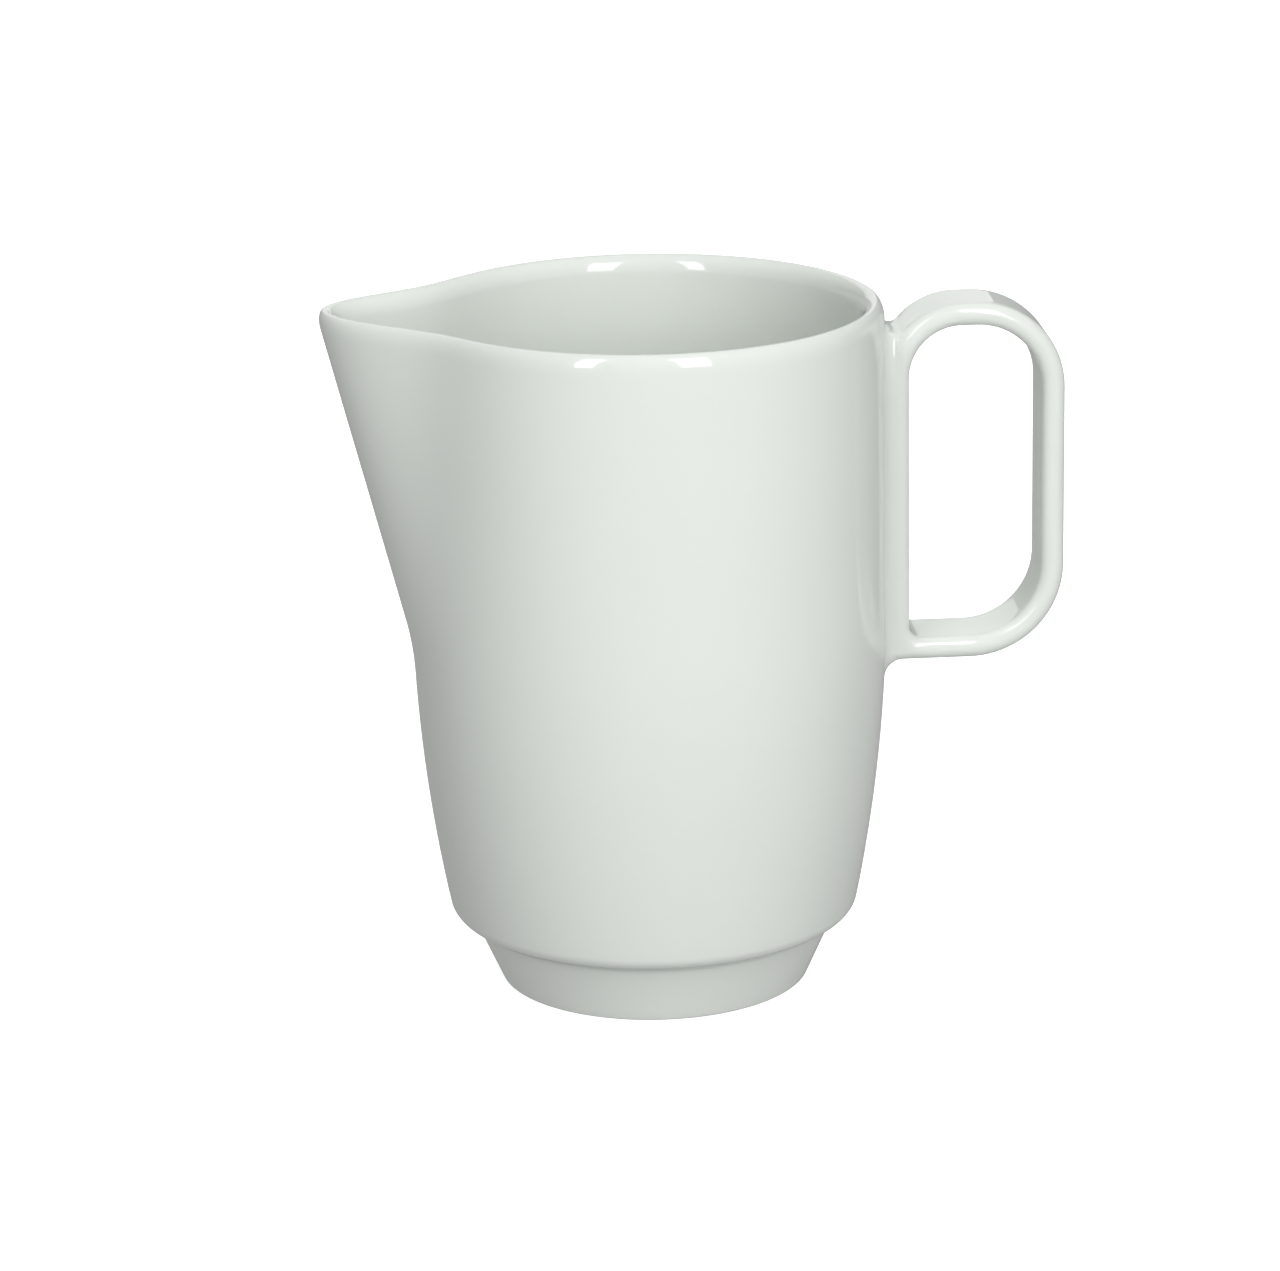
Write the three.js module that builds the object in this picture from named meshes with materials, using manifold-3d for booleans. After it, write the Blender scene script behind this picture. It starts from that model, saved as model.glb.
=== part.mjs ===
// Ceramic pitcher: a slip-cast porcelain jug of about one litre. A round body swells a little above
// a shouldered foot, one side is drawn out into a pouring spout, and a flat strap bent into a closed
// loop is luted to the other side. Millimetres, +Z up, spout towards -X, handle towards +X, foot on
// Z = 0, and the origin under the middle of the whole jug.

import * as THREE from 'three';
import { mergeVertices } from 'three/addons/utils/BufferGeometryUtils.js';
import Module from 'manifold-3d';

// Body, outside.
const RIM_HEIGHT = 160;
const RIM_RADIUS = 54.3;
const BELLY_RADIUS = 54.6;
const BELLY_HEIGHT = 90;
const SHOULDER_RADIUS = 46.9;
const SHOULDER_HEIGHT = 15.7;
const SHOULDER_ROUND = 4.2;
// The wall's own curve starts this many corner radii above the shoulder.
const SHOULDER_RUN = 1.5;

// Foot, with a standing ring round a shallow recess.
const FOOT_RADIUS = 35.7;
const NECK_RADIUS = 42.7;
const NECK_ROUND = 1.6;
const FOOT_EDGE_ROUND = 1.2;
const STANDING_RING_WIDTH = 4.6;
const RECESS_DEPTH = 2.4;
const RECESS_SLOPE_WIDTH = 1.2;

// Body, inside.
const WALL = 4.9;
const BASE_THICKNESS = 7;
const INSIDE_CORNER_ROUND = 16;
// The inside of the wall starts this many corner radii above the floor.
const INSIDE_RUN = 1.2;

// Spout: a ridge leaves the wall and runs straight to the tip, with a smooth swell on both sides.
const SPOUT_REACH = 74.5;
const SPOUT_START_HEIGHT = 81;
const SPOUT_START_BLEND = 1.5;
const SPOUT_HALF_SPREAD = THREE.MathUtils.degToRad(13.2);
const LIP_RISE = 0.6;

// Handle: a flat strap bent into a closed loop, with its inner limb lying on the wall.
const STRAP_WIDTH = 18.5;
const STRAP_THICKNESS = 5.2;
const STRAP_EDGE_ROUND = 2.3;
// The edges of a thin strap are never rounded by more than this share of its thickness.
const EDGE_ROUND_SHARE = 0.44;
const LIMB_STAND = 4.8;
const FINGER_GAP = 30.5;
const HANDLE_HEIGHT = 83.5;
const HANDLE_BELOW_RIM = 1;
const HOLE_TOP_INNER_ROUND = 12;
const HOLE_TOP_OUTER_ROUND = 15;
const HOLE_LOW_OUTER_ROUND = 16.4;
const HOLE_LOW_INNER_ROUND = 2.6;

// Luting slip between the wall and the handle, with a clearance on each of its faces.
const SLIP_THICKNESS = 0.4;
const SLIP_CLEARANCE = 0.3;
const SLIP_MARGIN = 0.8;
const SLIP_CORNER_ROUND = 3;

// Fineness of the surfaces.
const ROUND_SIDES = 84;
const OUTSIDE_STEPS = 12;
const INSIDE_STEPS = 9;
const CORNER_STEPS = 4;
const EDGE_STEPS = 2;
const RIM_STEPS = 6;
const OUTLINE_STEPS = 10;
// The sides of the body crowd towards the spout, where the wall turns most sharply.
const SPOUT_CROWDING = 0.5;

// The plug that cuts the handle stands clear of it above and below, and the handle's root starts
// inside the wall, so that the cut gives it the wall's own curve.
const PLUG_OVERRUN = 10;
const ROOT_DEPTH = 5;

// Corners closer than this are one corner.
const WELD_DISTANCE = 1e-4;
// Directions that lean by less than this count as upright.
const LEAN_TOLERANCE = 1e-9;
// Angle over which the direction of the wall's outline is measured, in radians.
const OUTLINE_NUDGE = 0.001;

// Sizes that follow from the ones above.
const floorHeight = RECESS_DEPTH + BASE_THICKNESS;
const limbFace = BELLY_RADIUS + LIMB_STAND;
const handleReach = limbFace + FINGER_GAP + STRAP_THICKNESS;
const handleTop = RIM_HEIGHT - HANDLE_BELOW_RIM;
const handleBottom = handleTop - HANDLE_HEIGHT;
const handleGap = SLIP_THICKNESS + 2 * SLIP_CLEARANCE;
const holeTopOuterRound = Math.min(HOLE_TOP_OUTER_ROUND, FINGER_GAP - HOLE_TOP_INNER_ROUND);
const holeLowOuterRound = Math.min(HOLE_LOW_OUTER_ROUND, FINGER_GAP - HOLE_LOW_INNER_ROUND);
const strapEdgeRound = Math.min(STRAP_EDGE_ROUND, EDGE_ROUND_SHARE * STRAP_THICKNESS);

// The loop's upper inner bend leaves the wall where its outer face is the slip's gap off the belly.
const bendX = limbFace + HOLE_TOP_INNER_ROUND;
const bendZ = handleTop - STRAP_THICKNESS - HOLE_TOP_INNER_ROUND;
const bendRound = HOLE_TOP_INNER_ROUND + STRAP_THICKNESS;
const joinAngle = Math.PI - Math.acos((bendX - BELLY_RADIUS - handleGap) / bendRound);
const joinTop = bendZ + bendRound * Math.sin(joinAngle);
const rootX = Math.min(wallRadius(handleBottom), wallRadius(joinTop)) - ROOT_DEPTH;

// Radius of the outside of the wall at a height: two parabolas that meet at the belly.
function wallRadius(z) {
  const isLow = z < BELLY_HEIGHT;
  const endRadius = isLow ? SHOULDER_RADIUS : RIM_RADIUS;
  const endHeight = isLow ? SHOULDER_HEIGHT : RIM_HEIGHT;
  const share = (z - BELLY_HEIGHT) / (endHeight - BELLY_HEIGHT);
  return BELLY_RADIUS - (BELLY_RADIUS - endRadius) * share * share;
}

// Points of the arc that rounds a corner of an outline.
function roundCorner(before, corner, after, radius, steps) {
  const toBefore = before.clone().sub(corner).normalize();
  const toAfter = after.clone().sub(corner).normalize();
  const halfAngle = Math.acos(toBefore.dot(toAfter)) / 2;
  const toCentre = toBefore.clone().add(toAfter).normalize();
  const centre = corner.clone().addScaledVector(toCentre, radius / Math.sin(halfAngle));
  const start = corner.clone().addScaledVector(toBefore, radius / Math.tan(halfAngle));
  const sweep = Math.sign(toAfter.cross(toBefore)) * (Math.PI - 2 * halfAngle);
  const points = [];
  for (let step = 0; step <= steps; step += 1) {
    points.push(start.clone().rotateAround(centre, sweep * step / steps));
  }
  return points;
}

// Points of the wall at a depth below its outside, from one height to another.
function wallPoints(depth, fromHeight, toHeight, steps) {
  const points = [];
  for (let step = 0; step <= steps; step += 1) {
    const z = THREE.MathUtils.lerp(fromHeight, toHeight, step / steps);
    points.push(new THREE.Vector2(wallRadius(z) - depth, z));
  }
  return points;
}

// Half of the section of the body, from under the base round the rim to the inside floor.
function bodyProfile() {
  const ringInside = FOOT_RADIUS - STANDING_RING_WIDTH;
  const recessCentre = new THREE.Vector2(0, RECESS_DEPTH);
  const recessCorner = new THREE.Vector2(ringInside - RECESS_SLOPE_WIDTH, RECESS_DEPTH);
  const ringCorner = new THREE.Vector2(ringInside, 0);
  const footCorner = new THREE.Vector2(FOOT_RADIUS, 0);
  const neck = new THREE.Vector2(NECK_RADIUS, SHOULDER_HEIGHT);
  const shoulder = new THREE.Vector2(SHOULDER_RADIUS, SHOULDER_HEIGHT);
  const wallStart = SHOULDER_HEIGHT + SHOULDER_RUN * SHOULDER_ROUND;
  const aboveShoulder = new THREE.Vector2(wallRadius(wallStart), wallStart);
  const rimRound = WALL / 2;
  const rimBase = RIM_HEIGHT - rimRound;
  const rimStart = new THREE.Vector2(wallRadius(rimBase), rimBase);
  const rimCentre = new THREE.Vector2(rimStart.x - rimRound, rimBase);
  const rim = [];
  for (let step = 1; step < RIM_STEPS; step += 1) {
    rim.push(rimStart.clone().rotateAround(rimCentre, Math.PI * step / RIM_STEPS));
  }
  const insideStart = floorHeight + INSIDE_RUN * INSIDE_CORNER_ROUND;
  const insideAbove = new THREE.Vector2(wallRadius(insideStart) - WALL, insideStart);
  const insideCorner = new THREE.Vector2(wallRadius(floorHeight) - WALL, floorHeight);
  const floorCentre = new THREE.Vector2(0, floorHeight);
  return [
    recessCentre,
    recessCorner,
    ringCorner,
    ...roundCorner(ringCorner, footCorner, neck, FOOT_EDGE_ROUND, EDGE_STEPS),
    ...roundCorner(footCorner, neck, shoulder, NECK_ROUND, EDGE_STEPS),
    ...roundCorner(neck, shoulder, aboveShoulder, SHOULDER_ROUND, CORNER_STEPS),
    ...wallPoints(0, wallStart, rimBase, OUTSIDE_STEPS),
    ...rim,
    ...wallPoints(WALL, rimBase, insideStart, INSIDE_STEPS),
    ...roundCorner(insideAbove, insideCorner, floorCentre, INSIDE_CORNER_ROUND, CORNER_STEPS),
    floorCentre,
  ];
}

// How far the spout's ridge stands out from the round wall at a height.
function spoutStand(z) {
  const rise = (z - SPOUT_START_HEIGHT) / (RIM_HEIGHT - SPOUT_START_HEIGHT);
  const ridge = THREE.MathUtils.lerp(wallRadius(SPOUT_START_HEIGHT), SPOUT_REACH, rise);
  const stand = ridge - wallRadius(z);
  if (stand > SPOUT_START_BLEND) {
    return stand;
  }
  const blend = Math.max(0, stand + SPOUT_START_BLEND);
  return blend * blend / (4 * SPOUT_START_BLEND);
}

// Share of the ridge's stand that is left at an angle from the ridge.
function spoutShare(angle) {
  return Math.exp(-(angle ** 2) / (2 * SPOUT_HALF_SPREAD ** 2));
}

// Point of the outside of the wall at a height and an angle from the spout's ridge.
function outsidePoint(angle, z) {
  const radius = wallRadius(z) + spoutStand(z) * spoutShare(angle);
  return new THREE.Vector2(-Math.cos(angle), Math.sin(angle)).multiplyScalar(radius);
}

// Point of the wall at a depth below its outside, measured square to the outline at that height.
function wallPoint(angle, z, depth) {
  const ahead = outsidePoint(angle + OUTLINE_NUDGE, z);
  const along = ahead.sub(outsidePoint(angle - OUTLINE_NUDGE, z)).normalize();
  const inward = new THREE.Vector2(along.y, -along.x);
  return outsidePoint(angle, z).addScaledVector(inward, depth);
}

// One closed skin: neighbouring faces share their corners, and faces of no area are dropped.
function closedSkin(geometry) {
  geometry.deleteAttribute('normal');
  geometry.deleteAttribute('uv');
  const merged = mergeVertices(geometry, WELD_DISTANCE);
  const corners = merged.index.array;
  const kept = [];
  for (let face = 0; face < corners.length; face += 3) {
    const [a, b, c] = corners.subarray(face, face + 3);
    if (a !== b && b !== c && c !== a) {
      kept.push(a, b, c);
    }
  }
  merged.setIndex(kept);
  return merged;
}

// A profile turned about the Z axis.
function turned(profile) {
  const geometry = new THREE.LatheGeometry(profile, ROUND_SIDES);
  geometry.rotateX(Math.PI / 2);
  return geometry;
}

// The turned body with its spout drawn out.
function bodyGeometry() {
  const geometry = turned(bodyProfile());
  const position = geometry.attributes.position;
  const corner = new THREE.Vector3();
  for (let index = 0; index < position.count; index += 1) {
    corner.fromBufferAttribute(position, index);
    const radius = Math.hypot(corner.x, corner.y);
    const even = Math.atan2(corner.y, -corner.x);
    const angle = even - SPOUT_CROWDING * Math.sin(even);
    const place = wallPoint(angle, corner.z, wallRadius(corner.z) - radius);
    const lift = spoutShare(angle) * spoutStand(corner.z) / spoutStand(RIM_HEIGHT);
    position.setXYZ(index, place.x, place.y, corner.z + LIP_RISE * lift);
  }
  return closedSkin(geometry);
}

// The round wall grown by a margin, as a solid plug.
function wallPlug(margin) {
  const low = handleBottom - PLUG_OVERRUN;
  const high = RIM_HEIGHT + PLUG_OVERRUN;
  const profile = [
    new THREE.Vector2(0, low),
    ...wallPoints(-margin, low, high, 2 * OUTSIDE_STEPS),
    new THREE.Vector2(0, high),
  ];
  return closedSkin(turned(profile));
}

// How far the strap reaches outwards from its hole at a place on the hole's edge. It is the strap's
// thickness, except beside the wall, where the root runs on past the wall's face.
function strapDepth(edge, outward) {
  const angle = Math.atan2(outward.y, outward.x);
  const isFree = outward.x >= -LEAN_TOLERANCE || (outward.y > 0 && angle <= joinAngle);
  if (isFree) {
    return STRAP_THICKNESS;
  }
  const levelEnd = outward.y > 0 ? joinTop : handleBottom;
  const toLevel = (levelEnd - edge.y) / outward.y;
  const toRoot = (rootX - edge.x) / outward.x;
  return Math.min(toRoot, toLevel > 0 ? toLevel : toRoot);
}

// Section of the strap at one place on the hole's edge: a rectangle with rounded corners.
function strapSection(edge, outward) {
  const depth = strapDepth(edge, outward);
  const halfWidth = STRAP_WIDTH / 2;
  const corners = [
    new THREE.Vector2(0, -halfWidth),
    new THREE.Vector2(depth, -halfWidth),
    new THREE.Vector2(depth, halfWidth),
    new THREE.Vector2(0, halfWidth),
  ];
  return corners.flatMap((corner, index) => {
    const before = corners[(index + 3) % 4];
    const after = corners[(index + 1) % 4];
    const rounded = roundCorner(before, corner, after, strapEdgeRound, EDGE_STEPS + 1);
    return rounded.map(({ x: out, y: across }) => new THREE.Vector3(
      edge.x + outward.x * out,
      across,
      edge.y + outward.y * out,
    ));
  });
}

// The strap's loop: sections that follow the four rounded corners of the finger hole.
function strapLoop() {
  const right = limbFace + FINGER_GAP;
  const top = handleTop - STRAP_THICKNESS;
  const bottom = handleBottom + STRAP_THICKNESS;
  const holeCorners = [
    new THREE.Vector2(limbFace, bottom),
    new THREE.Vector2(right, bottom),
    new THREE.Vector2(right, top),
    new THREE.Vector2(limbFace, top),
  ];
  const rounds = [
    HOLE_LOW_INNER_ROUND,
    holeLowOuterRound,
    holeTopOuterRound,
    HOLE_TOP_INNER_ROUND,
  ];
  const sections = holeCorners.flatMap((corner, index) => {
    const quarter = Math.PI / 2;
    const firstAngle = Math.PI + index * quarter;
    const inward = new THREE.Vector2(-1, -1).rotateAround(new THREE.Vector2(), index * quarter);
    const centre = corner.clone().addScaledVector(inward, -rounds[index]);
    return Array.from({ length: OUTLINE_STEPS + 1 }, (_, step) => {
      const angle = firstAngle + quarter * step / OUTLINE_STEPS;
      const outward = new THREE.Vector2(Math.cos(angle), Math.sin(angle));
      const edge = centre.clone().addScaledVector(outward, rounds[index]);
      return strapSection(edge, outward);
    });
  });
  return ringSkin(sections);
}

// A closed skin over a ring of sections that all have the same number of points.
function ringSkin(sections) {
  const perSection = sections[0].length;
  const corners = [];
  sections.forEach((section, ring) => {
    const next = (ring + 1) % sections.length;
    section.forEach((_, index) => {
      const after = (index + 1) % perSection;
      const [a, b] = [ring * perSection + index, ring * perSection + after];
      const [c, d] = [next * perSection + after, next * perSection + index];
      corners.push(a, b, c, a, c, d);
    });
  });
  const geometry = new THREE.BufferGeometry().setFromPoints(sections.flat());
  geometry.setIndex(corners);
  return geometry;
}

// A block as deep as the root and as wide and tall as the patch of slip.
function slipBlock() {
  const halfWidth = STRAP_WIDTH / 2 + SLIP_MARGIN;
  const low = handleBottom - SLIP_MARGIN;
  const high = joinTop + SLIP_MARGIN;
  const round = SLIP_CORNER_ROUND;
  const patch = new THREE.Shape();
  patch.absarc(-halfWidth + round, low + round, round, Math.PI, 1.5 * Math.PI);
  patch.absarc(halfWidth - round, low + round, round, 1.5 * Math.PI, 2 * Math.PI);
  patch.absarc(halfWidth - round, high - round, round, 0, Math.PI / 2);
  patch.absarc(-halfWidth + round, high - round, round, Math.PI / 2, Math.PI);
  const geometry = new THREE.ExtrudeGeometry(patch, {
    depth: handleReach - rootX,
    curveSegments: CORNER_STEPS,
    bevelEnabled: false,
  });
  const across = new THREE.Vector3(0, 1, 0);
  const up = new THREE.Vector3(0, 0, 1);
  const outward = new THREE.Vector3(1, 0, 0);
  geometry.applyMatrix4(new THREE.Matrix4().makeBasis(across, up, outward));
  geometry.translate(rootX, 0, 0);
  return closedSkin(geometry);
}

const wasm = await Module();
wasm.setup();

// A solid that can be joined and cut, from a closed skin.
function solidOf(geometry) {
  return new wasm.Manifold(new wasm.Mesh({
    numProp: 3,
    vertProperties: new Float32Array(geometry.attributes.position.array),
    triVerts: new Uint32Array(geometry.index.array),
  }));
}

// The skin of a solid that has been joined and cut.
function skinOf(solid) {
  const mesh = solid.getMesh();
  const geometry = new THREE.BufferGeometry();
  geometry.setAttribute('position', new THREE.BufferAttribute(mesh.vertProperties, 3));
  geometry.setIndex(new THREE.BufferAttribute(mesh.triVerts, 1));
  return geometry;
}

// The handle, its root cut to the curve of the wall with room for the slip.
function handleGeometry() {
  return skinOf(solidOf(strapLoop()).subtract(solidOf(wallPlug(handleGap))));
}

// The film of luting slip, curved as the wall is.
function slipGeometry() {
  const outer = solidOf(wallPlug(SLIP_CLEARANCE + SLIP_THICKNESS));
  const inner = solidOf(wallPlug(SLIP_CLEARANCE));
  return skinOf(solidOf(slipBlock()).intersect(outer.subtract(inner)));
}

const glazedPorcelain = new THREE.MeshStandardMaterial({
  color: 0xe6ebe8,
  roughness: 0.12,
  metalness: 0,
});
const glazedStrap = glazedPorcelain.clone();
const slipPorcelain = new THREE.MeshStandardMaterial({
  color: 0xe2e6e2,
  roughness: 0.3,
  metalness: 0,
});

// A named piece of the jug.
function piece(name, geometry, material) {
  geometry.computeVertexNormals();
  const mesh = new THREE.Mesh(geometry, material);
  mesh.name = name;
  return mesh;
}

const pitcher = new THREE.Group();
pitcher.add(piece('body', bodyGeometry(), glazedPorcelain));
pitcher.add(piece('handle', handleGeometry(), glazedStrap));
pitcher.add(piece('luting_slip', slipGeometry(), slipPorcelain));
// The jug's own axis stands off the middle, because the handle reaches further than the spout.
pitcher.position.x = (SPOUT_REACH - handleReach) / 2;

export default pitcher;
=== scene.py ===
"""Glazed porcelain pitcher.

A slip-cast round body with a pouring spout drawn out of one side, a flat strap bent into a closed
loop for a handle, and the bead of slip that lutes the two together under one clear glaze. All
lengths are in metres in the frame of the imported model: +Z up, spout towards -X, handle towards +X.
"""

import logging
import math
from collections.abc import Callable, Mapping, Sequence
from dataclasses import dataclass
from enum import Enum
from typing import Any

import bpy
import numpy as np
from mathutils import Matrix, Vector


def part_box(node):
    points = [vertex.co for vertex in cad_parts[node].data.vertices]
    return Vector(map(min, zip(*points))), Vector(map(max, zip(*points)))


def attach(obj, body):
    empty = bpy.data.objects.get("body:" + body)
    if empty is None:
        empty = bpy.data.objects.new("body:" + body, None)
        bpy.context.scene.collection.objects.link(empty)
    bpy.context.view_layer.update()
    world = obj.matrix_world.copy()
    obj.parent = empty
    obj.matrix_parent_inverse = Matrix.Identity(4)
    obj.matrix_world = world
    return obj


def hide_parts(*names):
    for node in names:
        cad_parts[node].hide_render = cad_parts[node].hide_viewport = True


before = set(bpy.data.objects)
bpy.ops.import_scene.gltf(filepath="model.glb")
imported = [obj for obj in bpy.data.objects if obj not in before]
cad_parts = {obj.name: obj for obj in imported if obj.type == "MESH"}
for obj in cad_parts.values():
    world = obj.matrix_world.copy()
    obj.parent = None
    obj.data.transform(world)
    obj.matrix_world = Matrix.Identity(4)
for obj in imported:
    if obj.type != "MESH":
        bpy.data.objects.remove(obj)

MM = 0.001
BODY = "root"
LOG = logging.getLogger("pitcher")
TINY = 1e-6


class Slot(Enum):
    """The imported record's finishes that cover a whole piece."""

    GLAZE = "glazed_porcelain"
    SLIP = "porcelain_slip"


class Mark(Enum):
    """The values that the meshes carry from point to point for the finishes to read."""

    # Positive in hollows, for the pooled glaze; negative over rounded edges, for painted shade.
    POOL = "glaze_pool_and_edge_shade"
    ANCHOR = "anchor"
    DEPTH = "depth"
    OUTWARD = "outward"


# ---------------------------------------------------------------------------------------------
# Nodes


def add_node(
    tree: bpy.types.NodeTree,
    kind: str,
    settings: Mapping[str, Any] | None = None,
    inputs: Mapping[Any, Any] | None = None,
) -> bpy.types.Node:
    """Adds one node with its settings, its constants and its links.

    Args:
        tree: The tree that gets the node.
        kind: The node's type.
        settings: The node's own properties.
        inputs: A constant or another node's output for each socket, by name or number.

    Returns:
        The new node.
    """
    node = tree.nodes.new(kind)
    for name, value in (settings or {}).items():
        setattr(node, name, value)
    for key, value in (inputs or {}).items():
        if isinstance(value, bpy.types.NodeSocket):
            tree.links.new(value, node.inputs[key])
        else:
            node.inputs[key].default_value = value
    return node


def work_out(
    tree: bpy.types.NodeTree, steps: Sequence[tuple[Any, ...]], known: Mapping[str, Any]
) -> dict[str, Any]:
    """Turns a list of named steps of arithmetic into nodes.

    Args:
        tree: The tree that gets the nodes.
        steps: For each step its name, its operation and its operands: numbers or earlier names.
        known: The values that the first steps start from, by name.

    Returns:
        Every value by its name, the known ones among them.
    """
    values = dict(known)
    for name, operation, *operands in steps:
        terms = {i: values[o] if isinstance(o, str) else o for i, o in enumerate(operands)}
        math_node = add_node(tree, "ShaderNodeMath", {"operation": operation}, terms)
        values[name] = math_node.outputs[0]
    return values


def linear(code: str) -> tuple[float, float, float, float]:
    """The linear colour of an sRGB hex code, opaque."""
    parts = [int(code[i : i + 2], 16) / 255 for i in (1, 3, 5)]
    red, green, blue = (
        p / 12.92 if p <= 0.04045 else ((p + 0.055) / 1.055) ** 2.4 for p in parts
    )
    return red, green, blue, 1.0


# ---------------------------------------------------------------------------------------------
# Finishes


def new_material(
    name: str,
) -> tuple[bpy.types.Material, bpy.types.NodeTree, bpy.types.NodeSocket]:
    """Starts a material.

    Args:
        name: The material's name.

    Returns:
        The material, its empty tree, and the point on the piece that its textures go by.
    """
    material = bpy.data.materials.new(name)
    material.use_nodes = True
    tree = material.node_tree
    tree.nodes.clear()
    return material, tree, add_node(tree, "ShaderNodeTexCoord").outputs["Object"]


def close_material(tree: bpy.types.NodeTree, inputs: Mapping[str, Any]) -> None:
    """Ends a material with its one shader.

    Args:
        tree: The material's tree.
        inputs: The shader's constants and links.
    """
    shader = add_node(tree, "ShaderNodeBsdfPrincipled", inputs=inputs)
    add_node(tree, "ShaderNodeOutputMaterial", inputs={"Surface": shader.outputs["BSDF"]})


def tinted(
    tree: bpy.types.NodeTree, base: str, tints: Sequence[tuple[bpy.types.NodeSocket, str]]
) -> bpy.types.NodeSocket:
    """Lays tints over a colour.

    Args:
        tree: The material's tree.
        base: The colour under the tints.
        tints: For each tint its share and its colour, from the lowest up.

    Returns:
        The colour.
    """
    colour: Any = linear(base)
    for share, code in tints:
        mix = add_node(
            tree,
            "ShaderNodeMix",
            {"data_type": "RGBA"},
            {"Factor": share, 6: colour, 7: linear(code)},
        )
        colour = mix.outputs[2]
    return colour


@dataclass(frozen=True)
class GlazedPorcelain:
    """Hard-paste porcelain under a clear feldspar glaze, dipped and fired to a mirror gloss.

    The eye gets a white body with a breath of green, a sharp wet reflection with a hardly visible
    ripple, a slightly deeper tone where the glaze has pooled in a hollow, a faint painted shade
    over every rounded edge, where the glaze runs thinner, and here and there an iron speck finer
    than a grain of salt.
    """

    name: str = "glazed_porcelain"
    body: str = "#E6EBE5"
    drift: str = "#E2E7E1"
    pooled: str = "#DAE1DA"
    # Painted shade: a tone a little darker than the body, laid over the rounded edges.
    thin: str = "#E3E8E2"
    speck: str = "#8F9388"
    ior: float = 1.52
    roughness: tuple[float, float] = (0.01, 0.022)
    smear: tuple[float, float] = (0.35, 0.65)
    drift_size: float = 34 * MM
    ripple_size: float = 7 * MM
    ripple_height: float = 0.004 * MM
    grain_size: float = 0.9 * MM
    grain_height: float = 0.0012 * MM
    speck_spacing: float = 13 * MM
    speck_radius: float = 0.16 * MM
    speck_core: float = 0.4
    speck_strength: float = 0.55
    speck_rarity: float = 0.62

    def make(self) -> bpy.types.Material:
        """Builds the glaze.

        Returns:
            The material.
        """
        material, tree, place = new_material(self.name)
        smear = add_node(
            tree,
            "ShaderNodeTexNoise",
            inputs={"Vector": place, "Scale": 1 / self.drift_size, "Detail": 4.0},
        )
        gloss = add_node(
            tree,
            "ShaderNodeMapRange",
            inputs={
                "Value": smear.outputs["Fac"],
                "From Min": self.smear[0],
                "From Max": self.smear[1],
                "To Min": self.roughness[0],
                "To Max": self.roughness[1],
            },
        )
        shader = {
            "Base Color": self._colour(tree, place),
            "IOR": self.ior,
            "Roughness": gloss.outputs["Result"],
            "Normal": self._normal(tree, place),
        }
        close_material(tree, shader)
        return material

    def _colour(
        self, tree: bpy.types.NodeTree, place: bpy.types.NodeSocket
    ) -> bpy.types.NodeSocket:
        """Body colour, its slow drift, the pooled glaze, painted shade on rounded edges, and the
        specks.

        Args:
            tree: The material's tree.
            place: The point on the piece.

        Returns:
            The colour.
        """
        drift = add_node(
            tree,
            "ShaderNodeTexNoise",
            inputs={"Vector": place, "Scale": 1 / self.drift_size, "Detail": 2.0},
        )
        pool = add_node(tree, "ShaderNodeAttribute", {"attribute_name": Mark.POOL.value})
        cells = add_node(
            tree,
            "ShaderNodeTexVoronoi",
            inputs={"Vector": place, "Scale": 1 / self.speck_spacing, "Randomness": 1.0},
        )
        edge = self.speck_radius / self.speck_spacing
        inside = add_node(
            tree,
            "ShaderNodeMapRange",
            inputs={
                "Value": cells.outputs["Distance"],
                "From Min": edge,
                "From Max": edge * self.speck_core,
                "To Min": 0.0,
                "To Max": self.speck_strength,
            },
        )
        steps = (
            ("pooled", "MAXIMUM", "pool", 0.0),
            # The rounded edges' share, for the painted shade over them.
            ("turned", "MULTIPLY", "pool", -1.0),
            ("thin", "MAXIMUM", "turned", 0.0),
            # Only where a cell's own random value is high does it hold a speck.
            ("chosen", "GREATER_THAN", "cell", self.speck_rarity),
            ("speck", "MULTIPLY", "chosen", "inside"),
        )
        known = {
            "pool": pool.outputs["Fac"],
            "cell": cells.outputs["Color"],
            "inside": inside.outputs["Result"],
        }
        shares = work_out(tree, steps, known)
        tints = (
            (drift.outputs["Fac"], self.drift),
            (shares["pooled"], self.pooled),
            # Painted shade darkens the rounded edges a little.
            (shares["thin"], self.thin),
            (shares["speck"], self.speck),
        )
        return tinted(tree, self.body, tints)

    def _normal(
        self, tree: bpy.types.NodeTree, place: bpy.types.NodeSocket
    ) -> bpy.types.NodeSocket:
        """The ripple of the cast wall and the finer grain of the glaze over it.

        Args:
            tree: The material's tree.
            place: The point on the piece.

        Returns:
            The shading normal.
        """
        below: dict[str, bpy.types.NodeSocket] = {}
        for size, height in (
            (self.ripple_size, self.ripple_height),
            (self.grain_size, self.grain_height),
        ):
            relief = add_node(
                tree,
                "ShaderNodeTexNoise",
                inputs={"Vector": place, "Scale": 1 / size, "Detail": 1.0},
            )
            inputs = {"Strength": 1.0, "Distance": height, "Height": relief.outputs["Fac"]}
            bump = add_node(tree, "ShaderNodeBump", inputs={**inputs, **below})
            below = {"Normal": bump.outputs["Normal"]}
        return below["Normal"]


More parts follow.
